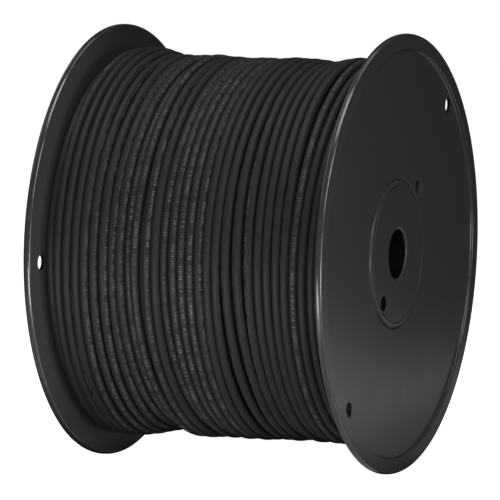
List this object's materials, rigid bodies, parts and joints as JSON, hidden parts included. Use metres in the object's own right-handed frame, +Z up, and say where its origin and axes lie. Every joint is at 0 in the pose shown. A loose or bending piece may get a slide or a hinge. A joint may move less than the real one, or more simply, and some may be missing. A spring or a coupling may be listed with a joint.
{
  "type": "wire spool",
  "caption": "Black plastic cable spool with two rimmed flanges, hub discs with arbor and drive holes, and a full wound load of round jacketed cable.",
  "frame": {"origin": "middle of the spool, on its axis", "axes": "+Y along the spool's axis, from the front flange to the back flange; +Z up, with the spool standing on its two rims"},
  "size_m": [0.267, 0.191, 0.267],
  "materials": {
    "reel_plastic": "semi-gloss moulded black plastic",
    "barrel_plastic": "moulded black plastic",
    "cable_jacket": "matte charcoal jacket",
    "wire_insulation": "coloured wire insulation",
    "conductor": "bare copper"
  },
  "bodies": {
    "root": {"front_flange": "reel_plastic", "back_flange": "reel_plastic", "front_hub_disc": "reel_plastic", "back_hub_disc": "reel_plastic", "barrel_tube": "barrel_plastic", "arbor_tube": "barrel_plastic", "cable_inner_layers": "cable_jacket", "cable_outer_layer": "cable_jacket", "cable_start_end": "cable_jacket", "start_insulation": "wire_insulation", "start_copper": "conductor", "cable_finish_end": "cable_jacket", "finish_insulation": "wire_insulation", "finish_copper": "conductor"}
  },
  "joints": []
}
